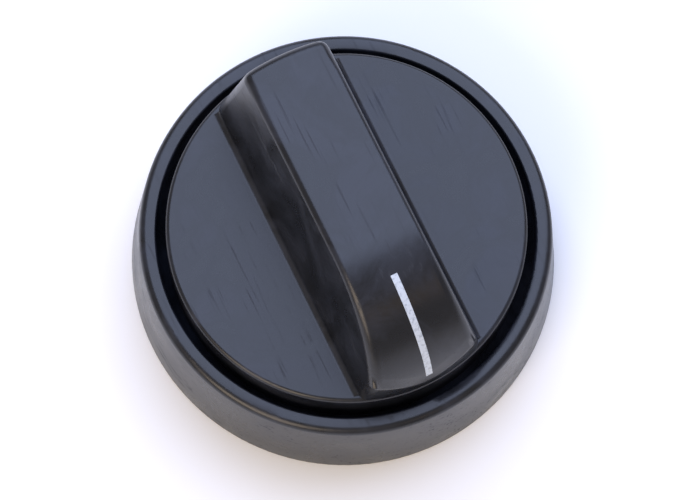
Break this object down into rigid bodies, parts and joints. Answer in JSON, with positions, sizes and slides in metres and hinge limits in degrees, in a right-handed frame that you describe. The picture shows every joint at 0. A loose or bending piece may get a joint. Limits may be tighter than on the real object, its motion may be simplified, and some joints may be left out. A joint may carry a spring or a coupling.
{
  "type": "control knob",
  "caption": "Round black control knob: flared skirt ring, disc with a raised grip bar, white pointer line, and a split D-bore shaft insert with a spring ring.",
  "frame": {"origin": "centre of the skirt ring's foot, on the knob's axis", "axes": "+Z along the knob's axis towards the top of the grip, -Y along the grip towards the pointer end"},
  "size_m": [0.05, 0.05, 0.0293],
  "materials": {
    "skirt_plastic": "moulded satin gloss",
    "cap_plastic": "moulded gloss with fine rub marks",
    "insert_nylon": "glass-filled, dull",
    "spring_steel": "rolled strip",
    "pointer_ink": "printed ink"
  },
  "bodies": {
    "root": {"skirt_ring": "skirt_plastic", "knob_cap": "cap_plastic", "shaft_insert": "insert_nylon", "retaining_spring": "spring_steel", "pointer_mark": "pointer_ink"}
  },
  "joints": []
}
